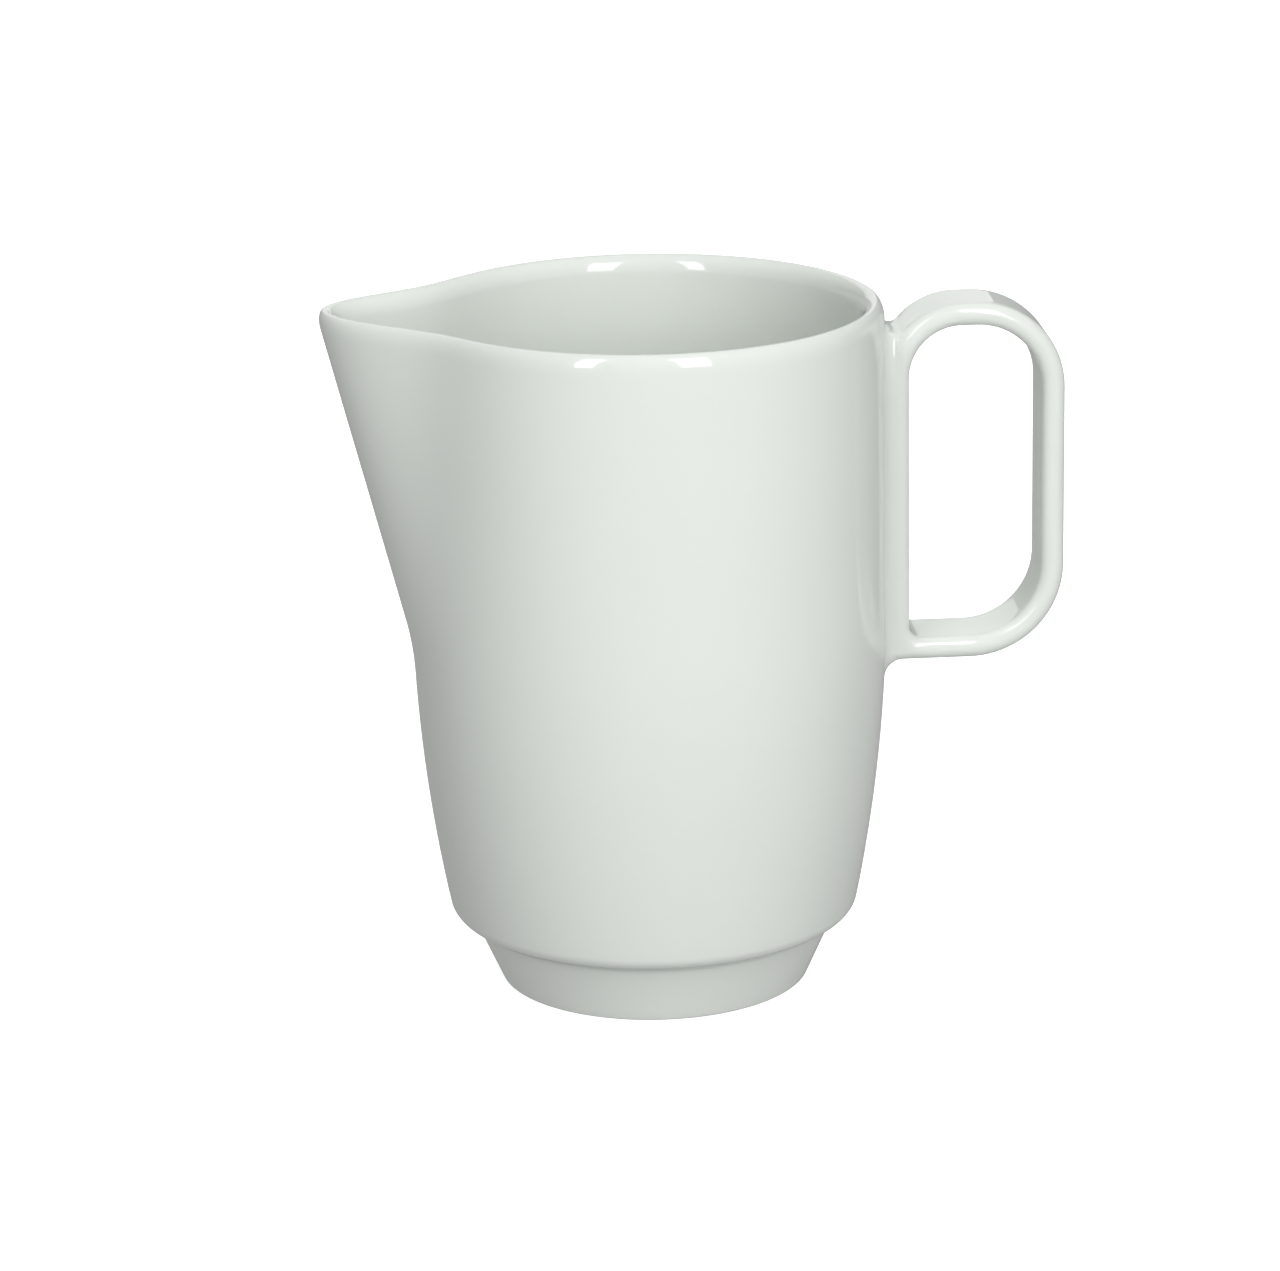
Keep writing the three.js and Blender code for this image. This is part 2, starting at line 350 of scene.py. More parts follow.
@dataclass(frozen=True)
class BarePorcelain:
    """Vitrified porcelain with the glaze wiped off before firing, so that the jug can stand.

    The eye gets a dry, warmer white with a fine stone grain and faint grey marks from shelves.
    """

    name: str = "unglazed_porcelain"
    body: str = "#DCD9D1"
    scuffed: str = "#B9B6AE"
    ior: float = 1.5
    roughness: float = 0.72
    grain_size: float = 0.35 * MM
    grain_height: float = 0.03 * MM
    scuff_size: float = 3.5 * MM
    scuff_edge: tuple[float, float] = (0.5, 0.72)
    scuff_strength: float = 0.8

    def make(self) -> bpy.types.Material:
        """Builds the bare porcelain.

        Returns:
            The material.
        """
        material, tree, place = new_material(self.name)
        scuffs = add_node(
            tree,
            "ShaderNodeTexNoise",
            inputs={"Vector": place, "Scale": 1 / self.scuff_size, "Detail": 5.0},
        )
        worn = add_node(
            tree,
            "ShaderNodeMapRange",
            inputs={
                "Value": scuffs.outputs["Fac"],
                "From Min": self.scuff_edge[0],
                "From Max": self.scuff_edge[1],
                "To Max": self.scuff_strength,
            },
        )
        grain = add_node(
            tree, "ShaderNodeTexNoise", inputs={"Vector": place, "Scale": 1 / self.grain_size}
        )
        bump = add_node(
            tree,
            "ShaderNodeBump",
            inputs={"Distance": self.grain_height, "Height": grain.outputs["Fac"]},
        )
        shader = {
            "Base Color": tinted(tree, self.body, [(worn.outputs["Result"], self.scuffed)]),
            "IOR": self.ior,
            "Roughness": self.roughness,
            "Normal": bump.outputs["Normal"],
        }
        close_material(tree, shader)
        return material


@dataclass(frozen=True)
class StudioPaper:
    """Matt white paper, lit from behind as well: an even white with no shine."""

    name: str = "studio_paper"
    body: str = "#F7F8F8"
    shade: str = "#F4F5F5"
    roughness: float = 0.95
    sheen: float = 0.1
    glow: float = 0.72
    pulp_size: float = 60 * MM

    def make(self) -> bpy.types.Material:
        """Builds the paper.

        Returns:
            The material.
        """
        material, tree, place = new_material(self.name)
        pulp = add_node(
            tree, "ShaderNodeTexNoise", inputs={"Vector": place, "Scale": 1 / self.pulp_size}
        )
        shader = {
            "Base Color": tinted(tree, self.body, [(pulp.outputs["Fac"], self.shade)]),
            "Roughness": self.roughness,
            "Specular IOR Level": self.sheen,
            "Emission Color": linear(self.body),
            "Emission Strength": self.glow,
        }
        close_material(tree, shader)
        return material


# ---------------------------------------------------------------------------------------------
# Meshes


def corner_arc(
    before: Sequence[float],
    corner: Sequence[float],
    after: Sequence[float],
    radius: float,
    steps: int,
) -> list[np.ndarray]:
    """Points of the arc that rounds a corner of a flat outline.

    Args:
        before: The outline's point before the corner.
        corner: The corner.
        after: The outline's point after it.
        radius: The arc's radius.
        steps: How many straight pieces the arc is made of.

    Returns:
        The points, from the side of the point before.
    """
    to_before = np.subtract(before, corner) / np.linalg.norm(np.subtract(before, corner))
    to_after = np.subtract(after, corner) / np.linalg.norm(np.subtract(after, corner))
    half = math.acos(float(to_before @ to_after)) / 2
    middle = (to_before + to_after) / np.linalg.norm(to_before + to_after)
    centre = np.asarray(corner) + middle * radius / math.sin(half)
    start = np.asarray(corner) + to_before * radius / math.tan(half) - centre
    turn = to_after[0] * to_before[1] - to_after[1] * to_before[0]
    sweep = math.copysign(math.pi - 2 * half, turn)
    points = []
    for step in range(steps + 1):
        c, s = math.cos(sweep * step / steps), math.sin(sweep * step / steps)
        points.append(centre + (start[0] * c - start[1] * s, start[0] * s + start[1] * c))
    return points


def quarter_turn(index: int, steps: int) -> np.ndarray:
    """Unit ways through one quarter of a turn, of which quarter 0 starts at the way -1, 0."""
    angles = math.pi + (index + np.linspace(0, 1, steps + 1)) * math.pi / 2
    return np.column_stack([np.cos(angles), np.sin(angles)])


def ring_faces(rings: int, points: int) -> list[tuple[int, int, int, int]]:
    """Faces of a closed skin over a closed ring of sections that all have the same points."""
    return [
        (
            ring * points + i,
            ring * points + (i + 1) % points,
            (ring + 1) % rings * points + (i + 1) % points,
            (ring + 1) % rings * points + i,
        )
        for ring in range(rings)
        for i in range(points)
    ]


def point_mesh(
    name: str, points: np.ndarray, marks: Mapping[Mark, np.ndarray] | None = None
) -> bpy.types.Mesh:
    """A mesh of loose points that carry values, for a node tree to read.

    Args:
        name: The mesh's name.
        points: One row for each point.
        marks: The values at the points: a number or a vector for each.

    Returns:
        The mesh.
    """
    mesh = bpy.data.meshes.new(name)
    mesh.from_pydata(points.tolist(), [], [])
    for mark, values in (marks or {}).items():
        is_vector = values.ndim == 2
        kind, field = ("FLOAT_VECTOR", "vector") if is_vector else ("FLOAT", "value")
        layer = mesh.attributes.new(mark.value, kind, "POINT")
        layer.data.foreach_set(field, values.astype(np.float32).ravel())
    return mesh


def read(items: Any, name: str, width: int, kind: type = float) -> np.ndarray:
    """Reads one property of all of a mesh's elements.

    Args:
        items: The elements.
        name: The property.
        width: How many numbers each element has.
        kind: The kind of number.

    Returns:
        One row for each element.
    """
    values = np.empty(len(items) * width, kind)
    items.foreach_get(name, values)
    return values.reshape(-1, width)


def mark_pooling_and_edge_shade(
    mesh: bpy.types.Mesh, full_round: float = 1.6 * MM, smoothing_rounds: int = 3
) -> None:
    """Marks where the glaze lies thick, in hollows, and the edges, where it runs thinner and gets
    painted shade.

    Args:
        mesh: The finished skin of a piece.
        full_round: The radius of a hollow or an edge that gets the full mark.
        smoothing_rounds: How many times the marks are shared out between neighbours.
    """
    count = len(mesh.vertices)
    place = read(mesh.vertices, "co", 3)
    normal = read(mesh.vertex_normals, "vector", 3)
    ends = read(mesh.edges, "vertices", 2, int)
    both_ways = ((ends[:, 0], ends[:, 1]), (ends[:, 1], ends[:, 0]))
    bend, neighbours = np.zeros(count), np.zeros(count)
    for here, there in both_ways:
        step = place[there] - place[here]
        length_squared = np.maximum(np.einsum("ij,ij->i", step, step), TINY**2)
        np.add.at(bend, here, 2 * np.einsum("ij,ij->i", normal[here], step) / length_squared)
        np.add.at(neighbours, here, 1)
    neighbours = np.maximum(neighbours, 1)
    pool = np.clip(bend / neighbours * full_round * 2, -1, 1)
    for _ in range(smoothing_rounds):
        total = np.zeros(count)
        for here, there in both_ways:
            np.add.at(total, here, pool[there])
        pool = (pool + total / neighbours) / 2
    layer = mesh.attributes.new(Mark.POOL.value, "FLOAT", "POINT")
    layer.data.foreach_set("value", pool.astype(np.float32))


def link_object(name: str, mesh: bpy.types.Mesh) -> bpy.types.Object:
    """An object at the origin that shows a mesh."""
    made = bpy.data.objects.new(name, mesh)
    bpy.context.scene.collection.objects.link(made)
    return made


@dataclass(frozen=True)
class SkinTree:
    """A Geometry Nodes tree that bends a grid into a skin by a rule and welds it shut."""

    name: str

    def run(
        self,
        start: bpy.types.Mesh,
        inputs: Mapping[str, Any],
        lay: Callable[[bpy.types.NodeTree, dict[str, Any]], bpy.types.NodeSocket],
    ) -> bpy.types.Mesh:
        """Builds the tree, runs it once and keeps what it made as a plain mesh.

        Args:
            start: The points that the rule starts from.
            inputs: The tree's named inputs: "Columns", "Rows", "Finish" and the rule's own.
            lay: Adds the rule's nodes and returns the place of each point of the grid.

        Returns:
            The plain mesh.
        """
        tree = bpy.data.node_groups.new(self.name, "GeometryNodeTree")
        kinds = {int: "Int", float: "Float", bpy.types.Material: "Material"}
        face = tree.interface
        face.new_socket("Geometry", in_out="INPUT", socket_type="NodeSocketGeometry")
        for name, value in inputs.items():
            kind = f"NodeSocket{kinds[type(value)]}"
            face.new_socket(name, in_out="INPUT", socket_type=kind)
        face.new_socket("Geometry", in_out="OUTPUT", socket_type="NodeSocketGeometry")
        outputs = add_node(tree, "NodeGroupInput").outputs
        given = {socket.name: socket for socket in outputs if socket.name}
        grid = add_node(
            tree,
            "GeometryNodeMeshGrid",
            inputs={"Vertices X": given["Columns"], "Vertices Y": given["Rows"]},
        )
        given["number"] = add_node(tree, "GeometryNodeInputIndex").outputs["Index"]
        count = (
            ("turns", "DIVIDE", "number", "Rows"),
            ("column", "FLOOR", "turns"),
            ("passed", "MULTIPLY", "column", "Rows"),
            ("row", "SUBTRACT", "number", "passed"),
        )
        treatments = (
            ("GeometryNodeSetPosition", {"Position": lay(tree, work_out(tree, count, given))}),
            ("GeometryNodeMergeByDistance", {"Distance": TINY}),
            ("GeometryNodeSetShadeSmooth", {"Shade Smooth": True}),
            ("GeometryNodeRealizeInstances", {}),
            ("GeometryNodeSetMaterial", {"Material": given["Finish"]}),
        )
        skin = grid.outputs["Mesh"]
        for kind, values in treatments:
            skin = add_node(tree, kind, inputs={"Geometry": skin, **values}).outputs["Geometry"]
        add_node(tree, "NodeGroupOutput", inputs={"Geometry": skin})
        holder = link_object(self.name, start)
        modifier = holder.modifiers.new(self.name, "NODES")
        modifier.node_group = tree
        for item in face.items_tree:
            if item.in_out == "INPUT" and item.name in inputs:
                modifier[item.identifier] = inputs[item.name]
        depsgraph = bpy.context.evaluated_depsgraph_get()
        mesh = bpy.data.meshes.new_from_object(holder.evaluated_get(depsgraph))
        bpy.data.objects.remove(holder)
        return mesh


def sample(
    tree: bpy.types.NodeTree,
    start: bpy.types.NodeSocket,
    index: bpy.types.NodeSocket,
    mark: Mark | None = None,
    is_vector: bool = True,
) -> bpy.types.NodeSocket:
    """Reads a start point's place, or a value that it carries.

    Args:
        tree: The tree that gets the nodes.
        start: The geometry of the start points.
        index: The point's number.
        mark: The value to read, or nothing for the place.
        is_vector: True if the value is a vector.

    Returns:
        The place or the value.
    """
    kind = "FLOAT_VECTOR" if is_vector else "FLOAT"
    if mark is None:
        value = add_node(tree, "GeometryNodeInputPosition").outputs["Position"]
    else:
        named = add_node(
            tree, "GeometryNodeInputNamedAttribute", {"data_type": kind}, {"Name": mark.value}
        )
        value = named.outputs["Attribute"]
    reader = add_node(
        tree,
        "GeometryNodeSampleIndex",
        {"data_type": kind},
        {"Geometry": start, "Value": value, "Index": index},
    )
    return reader.outputs["Value"]


# ---------------------------------------------------------------------------------------------
# Body


@dataclass(frozen=True)
class JugBody:
    """The slip-cast body: foot, shoulder, swelling wall, rounded rim and drawn-out spout."""

    axis: float
    rim_height: float
    belly_radius: float
    spout_reach: float = 74.4 * MM
    lip_rise: float = 0.6 * MM
    rim_radius: float = 54.3 * MM
    belly_height: float = 90 * MM
    shoulder_radius: float = 46.9 * MM
    shoulder_height: float = 15.7 * MM
    shoulder_round: float = 4.2 * MM
    shoulder_run: float = 1.5
    foot_radius: float = 35.7 * MM
    neck_radius: float = 42.7 * MM
    neck_round: float = 3.0 * MM
    foot_edge_round: float = 1.2 * MM
    ring_width: float = 4.6 * MM
    recess_depth: float = 2.4 * MM
    recess_slope: float = 1.2 * MM
    recess_round: float = 0.9 * MM
    recess_flat_share: float = 0.94
    wall: float = 4.9 * MM
    rim_inner_width: float = 2.9 * MM
    rim_fall: float = 4.4 * MM
    base: float = 7 * MM
    inside_round: float = 16 * MM
    inside_run: float = 1.2
    floor_flat_share: float = 0.62
    slope_span: tuple[float, float] = (0.12, 0.86)
    spout_start_height: float = 81 * MM
    spout_blend: float = 1.5 * MM
    spout_half_spread: float = math.radians(13.2)
    crowding: float = 0.5
    sides: int = 300
    centre_steps: int = 8
    rim_steps: int = 14
    glaze_line: float = 0.12 * MM

    @classmethod
    def from_frame(cls) -> "JugBody":
        """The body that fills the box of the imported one."""
        low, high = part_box("body")
        belly = (high.y - low.y) / 2
        return cls(axis=high.x - belly, rim_height=high.z - cls.lip_rise, belly_radius=belly)

    @property
    def spout_start_radius(self) -> float:
        """Radius of the wall where the spout's ridge starts."""
        return float(self.radius(self.spout_start_height))

    def radius(self, height: Any) -> Any:
        """Radius of the outside of the wall at a height, or at several."""
        height = np.asarray(height, float)
        low = height < self.belly_height
        end_radius = np.where(low, self.shoulder_radius, self.rim_radius)
        end_height = np.where(low, self.shoulder_height, self.rim_height)
        share = (height - self.belly_height) / (end_height - self.belly_height)
        return self.belly_radius - (self.belly_radius - end_radius) * share**2

    def _wall(self, depth: float, start: float, end: float, steps: int) -> list[np.ndarray]:
        """Points of the wall at a depth below its outside, from one height to another."""
        heights = np.linspace(start, end, steps + 1)
        return list(np.column_stack([self.radius(heights) - depth, heights]))

    def profile(self) -> np.ndarray:
        """Half of the section, from under the base round the rim to the floor inside.

        Returns:
            One row of radius and height for each point.
        """
        ring_inside = self.foot_radius - self.ring_width
        recess_end = (ring_inside - self.recess_slope, self.recess_depth)
        recess_centre = (0.0, self.recess_depth)
        ring_edge, foot_edge = (ring_inside, 0.0), (self.foot_radius, 0.0)
        neck = (self.neck_radius, self.shoulder_height)
        shoulder = (self.shoulder_radius, self.shoulder_height)
        start = self.shoulder_height + self.shoulder_run * self.shoulder_round
        above = (float(self.radius(start)), start)
        out_width = self.wall - self.rim_inner_width
        rim_base = self.rim_height - self.rim_fall
        rim_top = np.array([float(self.radius(self.rim_height)) - out_width, self.rim_height])
        turn = np.linspace(0, math.pi / 2, self.rim_steps + 1)[1:]
        outer = np.column_stack([np.cos(turn) * out_width, (np.sin(turn) - 1) * self.rim_fall])
        # The radius of the wall hardly changes over the rounding, but the rim follows it.
        outer[:, 0] += (self.radius(rim_base) - self.radius(self.rim_height)) * np.cos(turn)
        inner = np.column_stack(
            [-np.sin(turn) * self.rim_inner_width, (np.cos(turn) - 1) * self.rim_fall]
        )
        rim = [*(rim_top + outer), *(rim_top + inner)[:-1]]
        floor = self.recess_depth + self.base
        inside = floor + self.inside_run * self.inside_round
        inside_above = (float(self.radius(inside)) - self.wall, inside)
        inside_corner = (float(self.radius(floor)) - self.wall, floor)
        shares = np.linspace(0, 1, self.centre_steps + 1)[:-1]
        recess_flat = recess_end[0] * self.recess_flat_share
        floor_flat = inside_corner[0] * self.floor_flat_share
        points = [
            *[(recess_flat * share, self.recess_depth) for share in shares],
            *corner_arc(recess_centre, recess_end, ring_edge, self.recess_round, steps=6),
            *corner_arc(recess_end, ring_edge, foot_edge, self.recess_round / 2, steps=5),
            *corner_arc(ring_edge, foot_edge, neck, self.foot_edge_round, steps=7),
            *self._slope(foot_edge, neck, steps=6),
            *corner_arc(foot_edge, neck, shoulder, self.neck_round, steps=9),
            *corner_arc(neck, shoulder, above, self.shoulder_round, steps=12),
            *self._wall(0, start, rim_base, steps=62),
            *rim,
            *self._wall(self.wall, rim_base, inside, steps=40),
            *corner_arc(inside_above, inside_corner, (0, floor), self.inside_round, steps=14),
            *[(floor_flat * share, floor) for share in shares[::-1]],
        ]
        return np.array([tuple(point) for point in points])

    def _slope(self, low: Sequence[float], high: Sequence[float], steps: int) -> list[np.ndarray]:
        """Points along a straight slope, clear of both of its rounded ends."""
        shares = np.linspace(*self.slope_span, steps + 1)[:, None]
        return list(np.asarray(low) * (1 - shares) + np.asarray(high) * shares)

    # The measures that the tree takes, each from the field or property of the same name.
    INPUTS = (
        "Axis",
        "Belly Radius",
        "Belly Height",
        "Rim Radius",
        "Rim Height",
        "Shoulder Radius",
        "Shoulder Height",
        "Spout Reach",
        "Spout Start Height",
        "Spout Start Radius",
        "Spout Blend",
        "Spout Half Spread",
        "Lip Rise",
        "Crowding",
    )
    RULE = (
        # The wall's radius: one parabola below the belly and another above it.
        ("is_low", "LESS_THAN", "height", "Belly Height"),
        ("radius_gap", "SUBTRACT", "Shoulder Radius", "Rim Radius"),
        ("end_radius", "MULTIPLY_ADD", "is_low", "radius_gap", "Rim Radius"),
        ("height_gap", "SUBTRACT", "Shoulder Height", "Rim Height"),
        ("end_height", "MULTIPLY_ADD", "is_low", "height_gap", "Rim Height"),
        ("above_belly", "SUBTRACT", "height", "Belly Height"),
        ("half_height", "SUBTRACT", "end_height", "Belly Height"),
        ("share", "DIVIDE", "above_belly", "half_height"),
        ("share_squared", "MULTIPLY", "share", "share"),
        ("swell", "SUBTRACT", "end_radius", "Belly Radius"),
        ("wall_radius", "MULTIPLY_ADD", "swell", "share_squared", "Belly Radius"),
        # The spout's ridge: a straight line from the wall to the tip, blended at its start.
        ("above_start", "SUBTRACT", "height", "Spout Start Height"),
        ("spout_height", "SUBTRACT", "Rim Height", "Spout Start Height"),
        ("rise", "DIVIDE", "above_start", "spout_height"),
        ("run", "SUBTRACT", "Spout Reach", "Spout Start Radius"),
        ("ridge", "MULTIPLY_ADD", "rise", "run", "Spout Start Radius"),
        ("stand", "SUBTRACT", "ridge", "wall_radius"),
        ("blend_low", "MULTIPLY", "Spout Blend", -1.0),
        ("over_low", "MAXIMUM", "stand", "blend_low"),
        ("within", "MINIMUM", "over_low", "Spout Blend"),
        ("into_blend", "ADD", "within", "Spout Blend"),
        ("blend_squared", "MULTIPLY", "into_blend", "into_blend"),
        ("blend_length", "MULTIPLY", "Spout Blend", 4.0),
        ("blended", "DIVIDE", "blend_squared", "blend_length"),
        ("past_blend", "SUBTRACT", "stand", "Spout Blend"),
        ("straight", "MAXIMUM", "past_blend", 0.0),
        ("ridge_stand", "ADD", "blended", "straight"),
        # The sides crowd towards the spout, where the wall turns most sharply.
        ("sides", "SUBTRACT", "Columns", 1.0),
        ("column_share", "DIVIDE", "column", "sides"),
        ("even", "MULTIPLY_ADD", "column_share", -2 * math.pi, math.pi),
        ("even_sine", "SINE", "even"),
        ("crowd", "MULTIPLY", "Crowding", "even_sine"),
        ("angle", "SUBTRACT", "even", "crowd"),
        # The swell on both sides of the ridge, and how fast the radius changes with the angle.
        ("spread_squared", "MULTIPLY", "Spout Half Spread", "Spout Half Spread"),
        ("slope", "DIVIDE", "angle", "spread_squared"),
        ("power", "MULTIPLY", "angle", "slope"),
        ("half_power", "MULTIPLY", "power", -0.5),
        ("swell_share", "EXPONENT", "half_power"),
        ("drawn", "MULTIPLY", "ridge_stand", "swell_share"),
        ("outline", "ADD", "wall_radius", "drawn"),
        ("fall", "MULTIPLY", "drawn", "slope"),
        ("change", "MULTIPLY", "fall", -1.0),
        # The outline's point, its direction, and the way in from it, square to the outline.
        ("sine", "SINE", "angle"),
        ("cosine", "COSINE", "angle"),
        ("out_x", "MULTIPLY", "cosine", "outline"),
        ("out_y", "MULTIPLY", "sine", "outline"),
        ("turn_x", "MULTIPLY", "cosine", "change"),
        ("along_x", "SUBTRACT", "out_y", "turn_x"),
        ("turn_y", "MULTIPLY", "sine", "change"),
        ("along_y", "ADD", "out_x", "turn_y"),
        ("outline_squared", "MULTIPLY", "outline", "outline"),
        ("change_squared", "MULTIPLY", "change", "change"),
        ("speed_squared", "ADD", "outline_squared", "change_squared"),
        ("speed", "SQRT", "speed_squared"),
        ("depth", "SUBTRACT", "wall_radius", "radius"),
        ("step_in", "DIVIDE", "depth", "speed"),
        ("centred_x", "SUBTRACT", "Axis", "out_x"),
        ("x", "MULTIPLY_ADD", "step_in", "along_y", "centred_x"),
        ("in_y", "MULTIPLY", "step_in", "along_x"),
        ("y", "SUBTRACT", "out_y", "in_y"),
        # The lip climbs a little towards the tip.
        ("rim_stand", "SUBTRACT", "Spout Reach", "Rim Radius"),
        ("lift_share", "DIVIDE", "drawn", "rim_stand"),
        ("z", "MULTIPLY_ADD", "lift_share", "Lip Rise", "height"),
    )

    def _lay(self, tree: bpy.types.NodeTree, given: dict[str, Any]) -> bpy.types.NodeSocket:
        """Adds the nodes that turn the section about the axis and draw out the spout.

        Args:
            tree: The body's tree.
            given: The tree's inputs and the grid's columns and rows, by name.

        Returns:
            The place of each point.
        """
        point = sample(tree, given["Geometry"], given["row"])
        parts = add_node(tree, "ShaderNodeSeparateXYZ", inputs={0: point})
        known = {**given, "radius": parts.outputs["X"], "height": parts.outputs["Z"]}
        made = work_out(tree, self.RULE, known)
        place = add_node(
            tree, "ShaderNodeCombineXYZ", inputs={a: made[a.lower()] for a in ("X", "Y", "Z")}
        )
        return place.outputs["Vector"]

    def build(self, glaze: bpy.types.Material, bare: bpy.types.Material) -> bpy.types.Object:
        """Makes the body and leaves its standing ring unglazed.

        Args:
            glaze: The glaze over everything else.
            bare: The bare porcelain of the ring that the jug stands on.

        Returns:
            The body.
        """
        section = self.profile()
        points = np.column_stack([section[:, 0], np.zeros(len(section)), section[:, 1]])
        measures = {
            name: float(getattr(self, name.lower().replace(" ", "_"))) for name in self.INPUTS
        }
        inputs = {"Columns": self.sides + 1, "Rows": len(section), **measures, "Finish": glaze}
        mesh = SkinTree("jug_body_tree").run(point_mesh("section", points), inputs, self._lay)
        mesh.name = "jug_body"
        mark_pooling_and_edge_shade(mesh)
        mesh.materials.append(bare)
        for face in mesh.polygons:
            if face.center.z < self.glaze_line:
                face.material_index = 1
        return link_object("jug_body", mesh)


# ---------------------------------------------------------------------------------------------
# Handle


@dataclass(frozen=True)
class StrapHandle:
    """The flat strap, bent into a closed loop whose inner limb lies on the wall."""

    body: JugBody
    reach: float
    top: float
    bottom: float
    width: float
    thickness: float = 5.2 * MM
    edge_round: float = 2.55 * MM
    finger_gap: float = 30.5 * MM
    low_inner_round: float = 2.6 * MM
    low_outer_round: float = 16.4 * MM
    top_outer_round: float = 15 * MM
    top_inner_round: float = 12 * MM
    root_depth: float = 1.6 * MM
    arc_steps: int = 22
    run_steps: int = 16
    edge_steps: int = 7
    face_steps: int = 8

    @classmethod
    def from_frame(cls, body: JugBody) -> "StrapHandle":
        """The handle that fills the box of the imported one."""
        low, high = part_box("handle")
        return cls(body, high.x - body.axis, high.z, low.z, high.y - low.y)

    @property
    def limb_face(self) -> float:
        """How far the finger hole starts from the jug's axis."""
        return self.reach - self.thickness - self.finger_gap

    @property
    def bend_centre(self) -> tuple[float, float]:
        """Centre of the upper bend beside the wall: distance from the axis, and height."""
        bend = self.top_inner_round
        return self.limb_face + bend, self.top - self.thickness - bend

    @property
    def bend_round(self) -> float:
        """Radius of the upper bend beside the wall, on the outside of the strap."""
        return self.top_inner_round + self.thickness

    @property
    def root(self) -> float:
        """How far the buried root is from the jug's axis."""
        return float(self.body.radius(self.bottom)) - self.root_depth

    def _stations(self) -> tuple[np.ndarray, np.ndarray]:
        """Places on the edge of the finger hole and the way outwards from each.

        Returns:
            The places and the ways, one row of distance from the axis and height for each.
        """
        left, right = self.limb_face, self.limb_face + self.finger_gap
        low, high = self.bottom + self.thickness, self.top - self.thickness
        bends = (
            (left, low, 1, 1, self.low_inner_round),
            (right, low, -1, 1, self.low_outer_round),
            (right, high, -1, -1, self.top_outer_round),
            (left, high, 1, -1, self.top_inner_round),
        )
        places: list[np.ndarray] = []
        ways: list[np.ndarray] = []
        for index, (x, z, in_x, in_z, bend) in enumerate(bends):
            way = quarter_turn(index, self.arc_steps)
            arc = np.array([x + in_x * bend, z + in_z * bend]) + way * bend
            if places:
                places.append(self._run(places[-1][-1], arc[0]))
                ways.append(np.repeat(way[:1], self.run_steps - 1, axis=0))
            places.append(arc)
            ways.append(way)
        places.append(self._run(places[-1][-1], places[0][0]))
        ways.append(np.repeat(ways[0][:1], self.run_steps - 1, axis=0))
        return np.concatenate(places), np.concatenate(ways)

    def _run(self, start: np.ndarray, end: np.ndarray) -> np.ndarray:
        """Places along a straight stretch, without its two ends."""
        shares = np.linspace(0, 1, self.run_steps + 1)[1:-1, None]
        return start * (1 - shares) + end * shares

    def _depth(self, place: np.ndarray, way: np.ndarray) -> float:
        """How far the strap reaches outwards: its thickness, or beside the wall on to its root.

        Args:
            place: A place on the edge of the finger hole.
            way: The way outwards from it.

        Returns:
            The depth.
        """
        if way[0] > -TINY or way[1] > TINY:
            return self.thickness
        to_root = (self.root - place[0]) / way[0]
        if way[1] > -TINY:
            return to_root
        return min(to_root, (self.bottom - place[1]) / way[1])

    def _section(self) -> tuple[np.ndarray, np.ndarray]:
        """Outline of the strap: a rectangle whose edges were sponged round.

        Returns:
            The points as offsets out and across, and for each whether it keeps to the outer face.
        """
        half, bend = self.width / 2, self.edge_round
        offsets: list[tuple[float, float]] = []
        anchors: list[float] = []
        for index, (anchor, side) in enumerate(((0, -1), (1, -1), (1, 1), (0, 1))):
            centre = np.array([bend if anchor == 0 else -bend, side * (half - bend)])
            ways = quarter_turn(index, self.edge_steps)
            offsets.extend(tuple(centre + bend * way) for way in ways)
            if index % 2:
                flat = np.linspace(side, -side, self.face_steps + 1)[1:-1] * (half - bend)
                offsets.extend((0.0, across) for across in flat)
            anchors.extend([anchor] * (len(offsets) - len(anchors)))
        return np.array(offsets), np.array(anchors, float)

    def _lay(self, tree: bpy.types.NodeTree, given: dict[str, Any]) -> bpy.types.NodeSocket:
        """Adds the nodes that carry the section along the loop.

        Args:
            tree: The handle's tree.
            given: The tree's inputs and the grid's columns and rows, by name.

        Returns:
            The place of each point.
        """
        wrap = (
            ("station", "FLOORED_MODULO", "row", "Stations"),
            ("part", "FLOORED_MODULO", "column", "Section Points"),
            ("point", "ADD", "part", "Stations"),
        )
        numbers = work_out(tree, wrap, given)
        start = given["Geometry"]
        offset = add_node(
            tree, "ShaderNodeSeparateXYZ", inputs={0: sample(tree, start, numbers["point"])}
        )
        known = {
            "anchor": sample(tree, start, numbers["point"], Mark.ANCHOR, False),
            "depth": sample(tree, start, numbers["station"], Mark.DEPTH, False),
            "offset": offset.outputs["X"],
        }
        reach = work_out(tree, (("out", "MULTIPLY_ADD", "anchor", "depth", "offset"),), known)
        outwards = add_node(
            tree,
            "ShaderNodeVectorMath",
            {"operation": "SCALE"},
            {0: sample(tree, start, numbers["station"], Mark.OUTWARD), "Scale": reach["out"]},
        )
        across = add_node(tree, "ShaderNodeCombineXYZ", inputs={"Y": offset.outputs["Y"]})
        total = sample(tree, start, numbers["station"])
        for term in (outwards.outputs["Vector"], across.outputs["Vector"]):
            added = add_node(
                tree, "ShaderNodeVectorMath", {"operation": "ADD"}, {0: total, 1: term}
            )
            total = added.outputs["Vector"]
        return total

